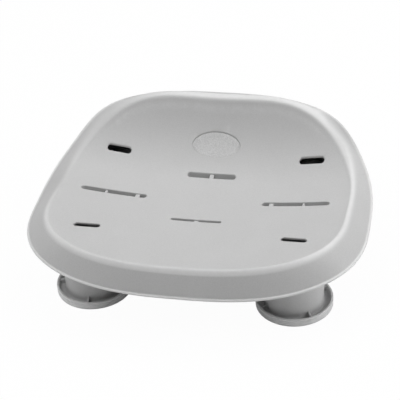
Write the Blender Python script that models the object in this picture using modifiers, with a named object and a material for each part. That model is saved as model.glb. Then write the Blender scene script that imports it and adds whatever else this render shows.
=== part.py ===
"""Moulded bath / shower seat on four stubby twist-in suction feet.

Metres, +Z up, front of the seat towards -Y, left at -X, origin on the floor under the
middle of the seat's outline.  Run with: blender --background --python part.py
"""
import math
from bisect import bisect_left

import bpy
import bmesh
from mathutils import Matrix, Vector

MM = 0.001                    # every size below is in mm, turned into metres on building

# ---- seat ------------------------------------------------------------------
SEAT_WIDTH = 400.0            # over the lip bead
SEAT_DEPTH = 303.8            # over the lip bead
SKIN = 3.0                    # moulded wall

# seat surface: z = H0 + SLOPE*y + DISH*x^2, plus REAR*(y-REAR_Y)^3 behind REAR_Y
SURF_H0 = 77.8
SURF_SLOPE = -0.102
SURF_DISH = 0.000441
SURF_REAR = 3.35e-5
SURF_REAR_Y = -1.7

# Outlines are superellipses whose rear and front halves differ in depth and power.
# The crown is where the seat surface would meet the skirt.
CROWN = dict(half_width=176.0, rear_depth=158.0, front_depth=127.0, middle_y=-14.0,
             rear_power=3.6, front_power=2.75)
# outer edge of the lip bead
LIP_REAR_DEPTH = 169.8
LIP = dict(half_width=SEAT_WIDTH / 2, rear_depth=LIP_REAR_DEPTH,
           front_depth=SEAT_DEPTH - LIP_REAR_DEPTH, middle_y=SEAT_DEPTH / 2 - LIP_REAR_DEPTH,
           rear_power=3.0, front_power=2.7)
LIP_Z = (75.85, 6.0, 10.4, 8.9)   # height of the lip over y/100: constant, y, y^2, y^3
LIP_LIFT = (12.2, 127.5, 26.0)    # raised towards the rear: height, at this y, over this spread
LIP_FLANGE = 2.6              # bead stands out from the skirt
LIP_THICK = 3.0

SEAT_SHARES = (0.24, 0.46, 0.65, 0.8, 0.92)   # rings of the seat, as shares of the crease radius
CREASE_RISE = 0.3             # crease over the seat surface
CREASE_SOFT = (0.9, 2.0)      # rounding length of the crease: front, rear
CROWN_RISE = 1.0              # crown line over the surface rule
CROWN_ROUND_IN = 5.0          # rounding length on the seat side
CROWN_START = 0.5             # crown rounding starts this far past the crease rounding
CROWN_ROUND_STEPS = (0.0, 0.3, 0.6, 1.0)
ROUND_OUT_FRONT = 0.60        # rounding length on the skirt side, share of the skirt
ROUND_OUT_REAR = 0.80
BAND_REAR = 5.2               # band along the rear rim, between the crease and the crown
BAND_RISE = 1.3               # and its rise towards the crown
BAND_START_Y = 40.0           # the front rim changes into the rear one from here
BAND_RUN = 90.0               # over this length

AROUND = 40                   # facets round the seat
OUTLINE_SAMPLES = 1440        # fine steps used to space the facets evenly
TURNED = 24                   # facets round a turned piece

# height rule inside the wall, for pieces joined to it from below
INSIDE_DEPTH = 1.3            # under the seat surface
INSIDE_SHARE = 0.935          # share of the crown outline where it starts to drop
INSIDE_DROP = 60.0            # drop per unit of share beyond that
ZONE_SHARES = (0.22, 0.42, 0.6, 0.74, 0.85, 0.93)   # rings of a body under the seat

# ---- legs ------------------------------------------------------------------
LEG_X = 119.0
LEG_Y_FRONT = -68.5
LEG_Y_REAR = 85.5
# centre x, y and resting turn (degrees, of the first gusset)
CORNERS = {
    "front_left": (-LEG_X, LEG_Y_FRONT, 3.6),
    "front_right": (LEG_X, LEG_Y_FRONT, 36.1),
    "rear_left": (-LEG_X, LEG_Y_REAR, 36.1),
    "rear_right": (LEG_X, LEG_Y_REAR, 3.6),
}
TUBE_R = 34.2
TUBE_WALL = 3.0
TUBE_IN_R = TUBE_R - TUBE_WALL
LEG_TOP = 77.0
DISH_R = 44.8                 # flared foot of the leg
DISH_IN_R = 41.8              # inside of its outer wall
DISH_WAIST_R = 44.0           # shallow grooves round its outside
DISH_BEAD_Z = 9.3
GUTTER_BOTTOM, GUTTER_TOP = 3.4, 5.0
DISH_BOTTOM = 1.4
WEB_BOTTOM, WEB_TOP = 10.0, 12.6      # inner web that carries the stud
HOLE_R = 3.4                  # clearance round the M6 stud

GUSSET_COUNT = 4
GUSSET_T = 1.8
GUSSET_R = (TUBE_R - 1.2, 42.7)       # inner and outer end
GUSSET_TOP = (15.0, 9.9)              # height at each end
GUSSET_BOTTOM = GUTTER_TOP - 0.8

DRAIN_R = 4.0                 # holes through the web
DRAIN_PITCH_R = 20.0
DRAIN_ANGLES = (45, 135, 225, 315)
DRAIN_FACETS = 10

LUG_BOTTOM, LUG_TOP = 66.0, 70.0
LUG_OUT = 2.6
LUG_W = 10.0
LUG_COUNT = 3
LUG_ANGLES = [45.0 + 360.0 / LUG_COUNT * k for k in range(LUG_COUNT)]
LUG_IN_R = TUBE_R - 1.5       # lugs and their windows start inside the tube wall
TWIST = 30.0                  # unlocking turn, degrees

# ---- sockets under the seat --------------------------------------------------
SOCKET_GAP = 0.5
SOCKET_WALL = 3.4
SOCKET_IN_R = TUBE_R + SOCKET_GAP
SOCKET_OUT_R = SOCKET_IN_R + SOCKET_WALL
SOCKET_Z = 50.0
WINDOW_OUT_R = SOCKET_OUT_R + 2.5
WINDOW_SIDE_GAP = 0.6         # either side of the lug
WINDOW_END_GAP = 0.5          # above and below the lug
WINDOW_HALF = math.degrees((LUG_W / 2 + WINDOW_SIDE_GAP) / (TUBE_R + 1.0))

# ---- slots -------------------------------------------------------------------
# x from, x to, y, full width, toe, long?  A slot that doesn't cross the middle is
# mirrored.  Toe moves the outer end back (+) or forward (-), per mm of slot.
SLOTS = (
    (104.6, 134.8, 85.5, 7.8, 0.03, False),
    (69.8, 149.8, 13.4, 8.2, 0.0, True),
    (105.0, 135.0, -69.5, 8.0, -0.16, False),
    (-29.7, 29.7, 63.0, 7.2, 0.0, True),
    (-29.9, 29.9, -32.4, 5.0, 0.0, True),
)
SHORT_SLOT_DEPTH = 9.0
LONG_SLOT_DEPTH = 14.0
SLOT_CUT_ABOVE = 8.0          # the cutters reach this far over the seat surface
SLOT_STEP = 18.0              # rough length of a facet along a slot
BRIDGE = 1.75                 # cut depth over the ribs that bridge the long slots
BRIDGE_STEP = 0.03            # length of the step in the floor beside a bridge
BRIDGE_CLEAR = 1.0            # no other stations this close to a bridge
COLLAR = 2.0                  # wall round the long slots under the skin

# ---- underside ribs ------------------------------------------------------------
RIB_DEPTH = 11.0
# place and thickness: x of the ribs from front to rear, y of the cross ribs
LONG_RIBS = [(0.0, 5.0)] + [(side * x, thick) for x, thick in ((81.0, 5.0), (119.3, 2.5))
                            for side in (-1, 1)]
CROSS_RIBS = ((-100.0, 2.2), (-10.0, 2.2), (36.0, 2.2))
LONG_RIB_Y = (-150, 122)      # ends, before the trim to the seat's outline
CROSS_RIB_X = 170             # half length, before the same trim
RIB_BLOCK_Z = (30, 180)       # heights of the untrimmed blocks

# ---- oval name-plate pocket, left blank -----------------------------------------
OVAL_Y = 98.7
OVAL_A = 29.8
OVAL_B = 12.4
OVAL_FACETS = 24
OVAL_DEPTH = 1.8
POCKET_CUT_ABOVE = 6.0        # the cutter reaches this far over the seat surface
PLATE_T = 0.8
PLATE_EDGE_GAP = 0.35

# ---- suction cups and M6 hardware -------------------------------------------------
GAP = 0.3                     # between fitted pieces
CUP_R = 40.8
CUP_FLAT = 2.3                # width of the flat sealing edge
CUP_HUB_TOP = 8.4
STUD_R = 3.0
STUD_CHAMFER = 0.6
STUD_HEAD_R = 6.0
STUD_HEAD_BOTTOM, STUD_HEAD_TOP = 4.6, 6.4
STUD_TOP = 26.0
STUD_FACETS = 12
WASHER_R = 6.0
WASHER_BOTTOM = WEB_TOP + GAP
WASHER_TOP = WASHER_BOTTOM + 1.6
WASHER_FACETS = 16
NUT_AF = 10.0                 # across flats
NUT_BOTTOM = WASHER_TOP + GAP
NUT_TOP = NUT_BOTTOM + 6.0

# ---- turned profiles: (radius, z) --------------------------------------------------
LEG_PROFILE = [
    # down the tube and across the gutter
    (TUBE_R, LEG_TOP), (TUBE_R, 8.0), (TUBE_R + 1.1, 5.9), (TUBE_R + 2.6, GUTTER_TOP),
    (DISH_IN_R, GUTTER_TOP),
    # over the bead and down the outside of the foot
    (41.9, DISH_BEAD_Z), (42.5, DISH_BEAD_Z + 1.2), (43.8, DISH_BEAD_Z + 1.4),
    (DISH_R, DISH_BEAD_Z), (DISH_WAIST_R, 6.2), (DISH_R, 3.2), (DISH_WAIST_R, DISH_BOTTOM),
    # back under the gutter
    (DISH_IN_R, DISH_BOTTOM), (DISH_IN_R, GUTTER_BOTTOM), (TUBE_IN_R, GUTTER_BOTTOM),
    # round the web and up the inside of the tube
    (TUBE_IN_R, WEB_BOTTOM), (HOLE_R, WEB_BOTTOM), (HOLE_R, WEB_TOP), (TUBE_IN_R, WEB_TOP),
    (TUBE_IN_R, LEG_TOP),
]
CUP_PROFILE = [
    # pocket round the stud head
    (0.0, STUD_HEAD_BOTTOM - GAP), (STUD_HEAD_R + GAP, STUD_HEAD_BOTTOM - GAP),
    (STUD_HEAD_R + GAP, STUD_HEAD_TOP + GAP), (HOLE_R, STUD_HEAD_TOP + GAP),
    # top of the cup out to the edge
    (HOLE_R, CUP_HUB_TOP), (10.0, CUP_HUB_TOP), (16.0, 6.4), (26.0, 4.0), (30.2, 1.9),
    (40.0, 1.5), (CUP_R, 0.7),
    # sealing edge and hollow underside
    (CUP_R, 0.0), (CUP_R - CUP_FLAT, 0.0), (30.0, 0.7), (22.0, 2.5), (12.0, 3.1), (0.0, 3.2),
]
STUD_PROFILE = [
    (0.0, STUD_TOP), (STUD_R - STUD_CHAMFER, STUD_TOP), (STUD_R, STUD_TOP - STUD_CHAMFER),
    (STUD_R, STUD_HEAD_TOP), (STUD_HEAD_R, STUD_HEAD_TOP), (STUD_HEAD_R, STUD_HEAD_BOTTOM),
    (0.0, STUD_HEAD_BOTTOM),
]
WASHER_PROFILE = [
    (HOLE_R, WASHER_TOP), (WASHER_R, WASHER_TOP), (WASHER_R, WASHER_BOTTOM),
    (HOLE_R, WASHER_BOTTOM),
]

# ---- scene and materials -------------------------------------------------------------
for old in list(bpy.data.objects):
    bpy.data.objects.remove(old, do_unlink=True)


def new_collection(name):
    collection = bpy.data.collections.new(name)
    bpy.context.scene.collection.children.link(collection)
    return collection


PARTS = new_collection("bath_seat")
CUTTERS = new_collection("cutters")


def material(name, colour, roughness, metallic=0.0):
    made = bpy.data.materials.new(name)
    made.use_nodes = True
    inputs = made.node_tree.nodes["Principled BSDF"].inputs
    inputs["Base Color"].default_value = (*colour, 1.0)
    inputs["Roughness"].default_value = roughness
    inputs["Metallic"].default_value = metallic
    return made


GREY = material("moulded_grey", colour=(0.50, 0.50, 0.50), roughness=0.55)
PLATE = material("oval_plate_grey", colour=(0.45, 0.46, 0.46), roughness=0.6)
RUBBER = material("cup_grey", colour=(0.22, 0.22, 0.22), roughness=0.7)
STEEL = material("stainless", colour=(0.62, 0.62, 0.60), roughness=0.3, metallic=1.0)


# ---- object helpers --------------------------------------------------------------------
def add_part(name, mesh, mat):
    mesh.name = name
    mesh.materials.append(mat)
    part = bpy.data.objects.new(name, mesh)
    PARTS.objects.link(part)
    return part


def add_cutter(name, mesh):
    mesh.name = name
    cutter = bpy.data.objects.new(name, mesh)
    CUTTERS.objects.link(cutter)
    cutter.hide_render = True
    cutter.display_type = 'WIRE'
    return cutter


def smooth(part, angle):
    part.data.shade_smooth()
    part.data.set_sharp_from_angle(angle=math.radians(angle))


def boolean(part, other, operation, solver='EXACT'):
    mod = part.modifiers.new(operation.title() + "_" + other.name, 'BOOLEAN')
    mod.object = other
    mod.operation = operation
    mod.solver = solver


def bake(part):
    """Replace the object's mesh by its evaluated one, and drop its modifiers."""
    bpy.context.view_layer.update()
    depsgraph = bpy.context.evaluated_depsgraph_get()
    mesh = bpy.data.meshes.new_from_object(part.evaluated_get(depsgraph))
    part.modifiers.clear()
    part.data = mesh


# ---- mesh helpers ------------------------------------------------------------------------
def finish(shape):
    """Turn a bmesh into a mesh and free it."""
    mesh = bpy.data.meshes.new("mesh")
    shape.to_mesh(mesh)
    shape.free()
    return mesh


def joined(name, meshes):
    """One cutter object out of several separate closed bodies."""
    shape = bmesh.new()
    for mesh in meshes:
        shape.from_mesh(mesh)
    return add_cutter(name, finish(shape))


def cube_mesh(corner, turn=0.0):
    """Cube whose corners at +-0.5 are moved by the corner rule (mm), then turned round Z."""
    shape = bmesh.new()
    bmesh.ops.create_cube(shape, size=1.0)
    for vert in shape.verts:
        vert.co = corner(vert.co) * MM
    shape.transform(Matrix.Rotation(math.radians(turn), 4, 'Z'))
    return finish(shape)


def box_mesh(low, high, turn=0.0):
    size = Vector(high) - Vector(low)
    mid = (Vector(high) + Vector(low)) / 2
    return cube_mesh(lambda co: Vector((co.x * size.x + mid.x, co.y * size.y + mid.y,
                                        co.z * size.z + mid.z)), turn)


def cylinder_mesh(radius, bottom, top, x=0.0, y=0.0, segments=TURNED):
    shape = bmesh.new()
    bmesh.ops.create_cone(shape, cap_ends=True, segments=segments, radius1=radius * MM,
                          radius2=radius * MM, depth=(top - bottom) * MM)
    shape.transform(Matrix.Translation((x * MM, y * MM, (bottom + top) / 2 * MM)))
    return finish(shape)


def strip_prism(segments, bottom, top_z):
    """Closed body on a strip of quads: bottom(along 0..1, across -1 or 1) gives a point
    in mm, and top_z(point) the height over it, in metres."""
    shape = bmesh.new()
    bmesh.ops.create_grid(shape, x_segments=segments, y_segments=1, size=1.0)
    for vert in shape.verts:
        vert.co = bottom((vert.co.x + 1) / 2, vert.co.y) * MM
    raised = bmesh.ops.extrude_face_region(shape, geom=list(shape.faces))
    for item in raised["geom"]:
        if isinstance(item, bmesh.types.BMVert):
            item.co.z = top_z(item.co)
    bmesh.ops.recalc_face_normals(shape, faces=list(shape.faces))
    return finish(shape)


def turned(name, profile, mat, segments=TURNED):
    """Closed (radius, z) profile in mm turned round Z with a Screw modifier."""
    edges = [(i, i + 1) for i in range(len(profile) - 1)]
    if profile[0][0] > 0.0:        # a profile that starts on the axis also ends on it
        edges.append((len(profile) - 1, 0))
    mesh = bpy.data.meshes.new(name)
    mesh.from_pydata([(radius * MM, 0.0, z * MM) for radius, z in profile], edges, [])
    part = add_part(name, mesh, mat)
    mod = part.modifiers.new("Turn", 'SCREW')
    mod.axis = 'Z'
    mod.steps = mod.render_steps = segments
    mod.use_merge_vertices = True
    mod.merge_threshold = 0.00001
    mod.use_smooth_shade = True
    mod.use_normal_calculate = False
    return part


def ring_sheet(rings, middle):
    """A sheet grown from a capped circle by extruding its edge out ring by ring."""
    def place(loop, ring):
        for vert, point in zip(loop, ring):
            vert.co = point * MM

    def clockwise(vert):
        """Angle from +Y; the circle's own verts run anticlockwise from +X."""
        if abs(vert.co.x) > 1e-9 or vert.co.y < 0:
            return math.atan2(vert.co.x, vert.co.y) % (2 * math.pi)
        return 0.0

    shape = bmesh.new()
    made = bmesh.ops.create_circle(shape, cap_ends=False, segments=len(rings[0]), radius=1.0)
    loop = sorted(made["verts"], key=clockwise)
    place(loop, rings[0])
    centre = shape.verts.new(middle * MM)
    edges = list(shape.edges)
    for edge in edges:
        shape.faces.new((centre, edge.verts[0], edge.verts[1]))
    for ring in rings[1:]:
        grown = bmesh.ops.extrude_edge_only(shape, edges=edges)["geom"]
        fresh = {item for item in grown if isinstance(item, bmesh.types.BMVert)}
        edges = [item for item in grown if isinstance(item, bmesh.types.BMEdge)
                 and item.verts[0] in fresh and item.verts[1] in fresh]
        # each fresh vertex is found from its parent, along their one shared edge
        loop = [next(edge.other_vert(vert) for edge in vert.link_edges
                     if edge.other_vert(vert) in fresh) for vert in loop]
        place(loop, ring)
    bmesh.ops.recalc_face_normals(shape, faces=list(shape.faces))
    if sum(face.normal.z * face.calc_area() for face in shape.faces) < 0:
        bmesh.ops.reverse_faces(shape, faces=list(shape.faces))
    return finish(shape)


# ---- the seat's rules ------------------------------------------------------------------
def surface(x, y):
    """Height of the seat surface (mm)."""
    behind = max(0.0, y - SURF_REAR_Y)
    return SURF_H0 + SURF_SLOPE * y + SURF_DISH * x * x + SURF_REAR * behind ** 3


def surface_normal(x, y):
    behind = max(0.0, y - SURF_REAR_Y)
    slope_y = SURF_SLOPE + 3 * SURF_REAR * behind * behind
    return Vector((-2 * SURF_DISH * x, -slope_y, 1.0)).normalized()


def along_normal(offset):
    """Height rule for a surface this far off the seat's, measured square to it."""
    return lambda x, y: surface(x, y) + offset / surface_normal(x, y).z


def half_outline(rule, is_rear):
    """Power and depth of the rear or front half of an outline."""
    end = "rear" if is_rear else "front"
    return rule[end + "_power"], rule[end + "_depth"]


def outline(rule, angle):
    """Point of an outline; angle 0 is at the rear, a quarter turn at +X."""
    sine, cosine = math.sin(angle), math.cos(angle)
    power, depth = half_outline(rule, cosine >= 0)
    x = rule["half_width"] * math.copysign(abs(sine) ** (2 / power), sine)
    y = depth * math.copysign(abs(cosine) ** (2 / power), cosine)
    if abs(sine) < 1e-9:
        x = 0.0
    if abs(cosine) < 1e-9:
        y = 0.0
    return x, y + rule["middle_y"]


def even_angles(count):
    """Angles round the outline, spread so that the lip points are about evenly spaced."""
    step = 2 * math.pi / OUTLINE_SAMPLES
    points = [outline(LIP, 2 * math.pi * i / OUTLINE_SAMPLES) for i in range(OUTLINE_SAMPLES + 1)]
    run = [0.0]
    for here, there in zip(points, points[1:]):
        run.append(run[-1] + math.hypot(there[0] - here[0], there[1] - here[1]))
    half_run = run[OUTLINE_SAMPLES // 2]
    angles = [0.0]
    for i in range(1, count // 2):
        want = half_run * i / (count // 2)
        after = bisect_left(run, want - 1e-9)
        part_way = (want - run[after - 1]) / (run[after] - run[after - 1])
        angles.append(step * (after - 1 + part_way))
    angles.append(math.pi)
    return angles + [2 * math.pi - angle for angle in reversed(angles[1:-1])]


ANGLES = even_angles(AROUND)
CROWN_OUTLINE = [outline(CROWN, angle) for angle in ANGLES]


def lip_point(angle):
    x, y = outline(LIP, angle)
    rise, rise_y, spread = LIP_LIFT
    lift = rise * math.exp(-((y - rise_y) / spread) ** 2)
    height = sum(factor * (y / 100.0) ** power for power, factor in enumerate(LIP_Z)) + lift
    return Vector((x, y, height + LIP_THICK / 2))


def outward(angle):
    """Level direction from the crown to the lip."""
    crown, lip = outline(CROWN, angle), outline(LIP, angle)
    return Vector((lip[0] - crown[0], lip[1] - crown[1], 0.0)).normalized()


def rear_share(y):
    """0 at the front and sides, 1 along the rear, where the rim has its band."""
    share = max(0.0, min(1.0, (y - BAND_START_Y) / BAND_RUN))
    return share * share * (3 - 2 * share)


def crown_share(x, y):
    """0 in the middle of the seat, 1 on the crown line."""
    from_middle = y - CROWN["middle_y"]
    power, depth = half_outline(CROWN, from_middle >= 0)
    total = (abs(x) / CROWN["half_width"]) ** power + (abs(from_middle) / depth) ** power
    return total ** (1 / power)


def inside_skin(x, y):
    """A height within the wall, lower where the rim rounds over."""
    share = crown_share(x, y)
    pull = min(1.0, INSIDE_SHARE / share) if share > 0 else 1.0
    middle_y = CROWN["middle_y"]
    height = surface(x * pull, middle_y + (y - middle_y) * pull)
    return height - INSIDE_DEPTH - INSIDE_DROP * max(0.0, share - INSIDE_SHARE)


def bezier(start, control, end, share):
    return (start * (1 - share) ** 2 + control * 2 * share * (1 - share)
            + end * share * share)


def seat_column(angle):
    """Points from the seat out over the crease, crown and skirt to the edge of the lip."""
    x, y = outline(CROWN, angle)
    middle = Vector((0.0, CROWN["middle_y"], 0.0))
    radial = Vector((x, y - CROWN["middle_y"], 0.0))
    reach = radial.length
    radial.normalize()
    rear = rear_share(y)
    band = BAND_REAR * rear
    soft = CREASE_SOFT[0] + (CREASE_SOFT[1] - CREASE_SOFT[0]) * rear
    crease_reach = reach - band - CROWN_ROUND_IN

    def on_seat(distance):
        point = middle + radial * distance
        return Vector((point.x, point.y, surface(point.x, point.y)))

    column = [on_seat(crease_reach * share) for share in SEAT_SHARES]

    # soft crease
    crease = on_seat(crease_reach) + Vector((0.0, 0.0, CREASE_RISE))
    crown_z = (1 - rear) * (surface(x, y) + CROWN_RISE) + rear * (crease.z + BAND_RISE)
    crown = Vector((x, y, crown_z))
    crease_in = on_seat(crease_reach - soft)
    crease_out = crease + (crown - crease).normalized() * soft
    column += [crease_in, bezier(crease_in, crease, crease_out, 0.5), crease_out]

    # rounded crown, skirt and lip bead
    start_share = (band + soft + CROWN_START) / (band + CROWN_ROUND_IN)
    start = crease + (crown - crease) * start_share
    foot = lip_point(angle) - outward(angle) * LIP_FLANGE
    round_out = ROUND_OUT_FRONT + (ROUND_OUT_REAR - ROUND_OUT_FRONT) * rear
    skirt = crown + (foot - crown) * round_out
    column += [bezier(start, crown, skirt, share) for share in CROWN_ROUND_STEPS]
    return column + [foot, lip_point(angle)]


def zone(lower, upper, shares=ZONE_SHARES, middle_y=CROWN["middle_y"], points=CROWN_OUTLINE):
    """Closed body between two height rules, on rings at these shares of an outline."""
    plans = [[(x * share, middle_y + (y - middle_y) * share) for x, y in points]
             for share in shares]
    top = [[Vector((x, y, upper(x, y))) for x, y in ring] for ring in plans]
    bottom = [[Vector((x, y, lower(x, y))) for x, y in ring] for ring in reversed(plans)]
    shape = bmesh.new()
    shape.from_mesh(ring_sheet(top + bottom, Vector((0.0, middle_y, upper(0.0, middle_y)))))
    rim = [edge for edge in shape.edges if edge.is_boundary]
    bmesh.ops.contextual_create(shape, geom=rim)
    cap = max(shape.faces, key=lambda face: len(face.verts))
    poked = bmesh.ops.poke(shape, faces=[cap])
    poked["verts"][0].co = Vector((0.0, middle_y, lower(0.0, middle_y))) * MM
    bmesh.ops.triangulate(shape, faces=list(shape.faces))
    bmesh.ops.recalc_face_normals(shape, faces=list(shape.faces))
    return finish(shape)


# ---- seat shell -----------------------------------------------------------------------
def make_skin():
    """The bare moulding: top sheet thickened inwards."""
    rings = [list(ring) for ring in zip(*(seat_column(angle) for angle in ANGLES))]
    middle = Vector((0.0, CROWN["middle_y"], surface(0.0, CROWN["middle_y"])))
    skin = add_part("seat_shell", ring_sheet(rings, middle), GREY)
    wall = skin.modifiers.new("Wall", 'SOLIDIFY')
    wall.thickness = SKIN * MM
    wall.offset = -1.0
    wall.use_even_offset = True
    wall.use_rim = True
    bake(skin)
    return skin


def placed_slots():
    """Every slot as in the table, with the mirrored ones on both sides."""
    for x_from, x_to, *rest in SLOTS:
        if x_from >= 0:
            yield (-x_to, -x_from, *rest)
        yield (x_from, x_to, *rest)


def make_ribs():
    """Long ribs, cross ribs and a collar round each long slot, trimmed under the skin."""
    low_z, high_z = RIB_BLOCK_Z
    blocks = [box_mesh((x - thick / 2, LONG_RIB_Y[0], low_z), (x + thick / 2, LONG_RIB_Y[1], high_z))
              for x, thick in LONG_RIBS]
    blocks += [box_mesh((-CROSS_RIB_X, y - thick / 2, low_z), (CROSS_RIB_X, y + thick / 2, high_z))
               for y, thick in CROSS_RIBS]
    blocks += [box_mesh((x_from - COLLAR, y - width / 2 - COLLAR, low_z),
                        (x_to + COLLAR, y + width / 2 + COLLAR, high_z))
               for x_from, x_to, y, width, _, is_long in placed_slots() if is_long]
    ribs = add_cutter("ribs", blocks[0])
    for i, block in enumerate(blocks[1:]):
        boolean(ribs, add_cutter("rib_box_%d" % i, block), 'UNION')
    trim = zone(lambda x, y: inside_skin(x, y) - RIB_DEPTH, inside_skin,
                points=CROWN_OUTLINE[::2])
    boolean(ribs, add_cutter("rib_zone", trim), 'INTERSECT')
    bake(ribs)
    return ribs


def make_posts():
    """A round post for each leg, up into the skin."""
    posts = [add_cutter("post_" + name, cylinder_mesh(SOCKET_OUT_R, SOCKET_Z, 150.0, x, y))
             for name, (x, y, _) in CORNERS.items()]
    for post in posts[1:]:
        boolean(posts[0], post, 'UNION')
    under = zone(lambda x, y: SOCKET_Z - 20.0, inside_skin, shares=ZONE_SHARES + (1.0, 1.05))
    boolean(posts[0], add_cutter("under_skin", under), 'INTERSECT')
    bake(posts[0])
    return posts[0]


def make_bores():
    """Bores from below that stop under the skin."""
    bores = joined("bores", [cylinder_mesh(SOCKET_IN_R, SOCKET_Z - 5.0, 160.0, x, y)
                             for x, y, _ in CORNERS.values()])
    roof = zone(lambda x, y: 20.0, lambda x, y: inside_skin(x, y) - 1.3,
                shares=ZONE_SHARES + (1.0,))
    boolean(bores, add_cutter("bore_roof", roof), 'INTERSECT')
    bake(bores)
    return bores


def window_mesh(x, y, angle_from, angle_to, low_z, high_z, steps):
    """Arc-shaped block through a socket wall, angles in degrees."""
    def bottom(along, across):
        angle = math.radians(angle_from + (angle_to - angle_from) * along)
        radius = LUG_IN_R + (WINDOW_OUT_R - LUG_IN_R) * (across + 1) / 2
        return Vector((x + radius * math.cos(angle), y + radius * math.sin(angle), low_z))

    return strip_prism(steps, bottom, lambda co: co.z + (high_z - low_z) * MM)


def make_windows():
    """Bayonet windows: a run of TWIST degrees, and an entry from below at its far end."""
    runs, entries = [], []
    for x, y, turn in CORNERS.values():
        for lug_angle in LUG_ANGLES:
            start = turn + lug_angle - WINDOW_HALF
            entry = turn + lug_angle + TWIST - WINDOW_HALF
            end = turn + lug_angle + TWIST + WINDOW_HALF
            runs.append(window_mesh(x, y, start, end, LUG_BOTTOM - WINDOW_END_GAP,
                                    LUG_TOP + WINDOW_END_GAP, steps=6))
            entries.append(window_mesh(x, y, entry, end, SOCKET_Z - 3.0, LUG_BOTTOM + 0.2,
                                       steps=2))
    return joined("window_runs", runs), joined("window_entries", entries)


def slot_mesh(x_from, x_to, y, width, toe, is_long):
    """Slug with rounded ends whose floor keeps its depth under the seat surface, and is
    shallow over each bridging rib."""
    half = width / 2
    depth = LONG_SLOT_DEPTH if is_long else SHORT_SLOT_DEPTH
    bridges = sorted((x - thick / 2, x + thick / 2) for x, thick in LONG_RIBS
                     if is_long and x_from < x < x_to)
    # stations are (x, half width); the round of an end is given by its inset
    blunt, bend = math.radians(25), math.radians(50)
    ends = [(0.0, half * math.sin(blunt)),
            (half * (1 - math.cos(bend)), half * math.sin(bend)), (half, half)]
    runs = max(1, round((x_to - x_from - width) / SLOT_STEP))
    stations = [(x_from + inset, side) for inset, side in ends]
    stations += [(x_from + half + (x_to - x_from - width) * i / runs, half)
                 for i in range(1, runs)]
    stations += [(x_to - inset, side) for inset, side in ends]
    stations = [(x, side) for x, side in stations
                if not any(low - BRIDGE_CLEAR < x < high + BRIDGE_CLEAR for low, high in bridges)]
    stations += [(x, half) for low, high in bridges
                 for x in (low - BRIDGE_STEP, low, high, high + BRIDGE_STEP)]
    stations.sort()

    def bottom(along, across):
        x, side = stations[round(along * (len(stations) - 1))]
        on_bridge = any(low - 1e-6 <= x <= high + 1e-6 for low, high in bridges)
        edge_y = y + toe * (abs(x) - abs(x_from + x_to) / 2) + math.copysign(side, across)
        return Vector((x, edge_y, surface(x, edge_y) - (BRIDGE if on_bridge else depth)))

    return strip_prism(len(stations) - 1, bottom,
                       lambda co: (surface(co.x / MM, co.y / MM) + SLOT_CUT_ABOVE) * MM)


def oval(inset=0.0):
    """Points of the name-plate oval, drawn in by the inset."""
    points = []
    for i in range(OVAL_FACETS):
        angle = 2 * math.pi * i / OVAL_FACETS
        x = OVAL_A * math.sin(angle)
        y = OVAL_Y + OVAL_B * math.cos(angle)
        points.append((x * (1 - inset / OVAL_A), OVAL_Y + (y - OVAL_Y) * (1 - inset / OVAL_B)))
    return points


def make_pocket():
    """Cutter for the oval pocket, the same depth all over."""
    body = zone(along_normal(-OVAL_DEPTH), along_normal(POCKET_CUT_ABOVE), shares=(0.55, 1.0),
                middle_y=OVAL_Y, points=oval())
    return add_cutter("oval_pocket", body)


def make_shell():
    shell = make_skin()
    boolean(shell, make_posts(), 'UNION', 'MANIFOLD')
    boolean(shell, make_ribs(), 'UNION', 'MANIFOLD')
    # the short slots open into the bored sockets, the long ones run through their collars
    slots = joined("slots", [slot_mesh(*slot) for slot in placed_slots()])
    for cutter in (make_bores(), *make_windows(), slots, make_pocket()):
        boolean(shell, cutter, 'DIFFERENCE', 'MANIFOLD')
    bake(shell)
    smooth(shell, 40)


def make_plate():
    """Blank oval plate lying in the pocket."""
    underside = GAP - OVAL_DEPTH
    body = zone(along_normal(underside), along_normal(underside + PLATE_T), shares=(0.5, 1.0),
                middle_y=OVAL_Y, points=oval(PLATE_EDGE_GAP))
    smooth(add_part("oval_plate", body, PLATE), 35)


# ---- legs, suction cups and their fastening -------------------------------------------
def gusset_corner(co):
    """Sloping web from the tube down to the rim of the foot."""
    end = 1 if co.x > 0 else 0
    return Vector((GUSSET_R[end], co.y * GUSSET_T, GUSSET_TOP[end] if co.z > 0 else GUSSET_BOTTOM))


def make_leg(corner):
    leg = turned("leg_" + corner, LEG_PROFILE, GREY)
    gussets = [cube_mesh(gusset_corner, 360.0 / GUSSET_COUNT * k) for k in range(GUSSET_COUNT)]
    lugs = [box_mesh((LUG_IN_R, -LUG_W / 2, LUG_BOTTOM), (TUBE_R + LUG_OUT, LUG_W / 2, LUG_TOP),
                     angle) for angle in LUG_ANGLES]
    drains = [cylinder_mesh(DRAIN_R, WEB_BOTTOM - 2, WEB_TOP + 2,
                            DRAIN_PITCH_R * math.cos(math.radians(angle)),
                            DRAIN_PITCH_R * math.sin(math.radians(angle)), DRAIN_FACETS)
              for angle in DRAIN_ANGLES]
    boolean(leg, joined("gussets_" + corner, gussets), 'UNION')
    boolean(leg, joined("lugs_" + corner, lugs), 'UNION')
    boolean(leg, joined("drains_" + corner, drains), 'DIFFERENCE')
    return leg


def make_nut(corner):
    across_corners_r = NUT_AF / 2 / math.cos(math.pi / 6)
    nut = add_part("cup_nut_" + corner,
                   cylinder_mesh(across_corners_r, NUT_BOTTOM, NUT_TOP, segments=6), STEEL)
    bore = cylinder_mesh(STUD_R + GAP, NUT_BOTTOM - 2, NUT_TOP + 2, segments=STUD_FACETS)
    boolean(nut, add_cutter("nut_bore_" + corner, bore), 'DIFFERENCE')
    return nut


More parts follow.
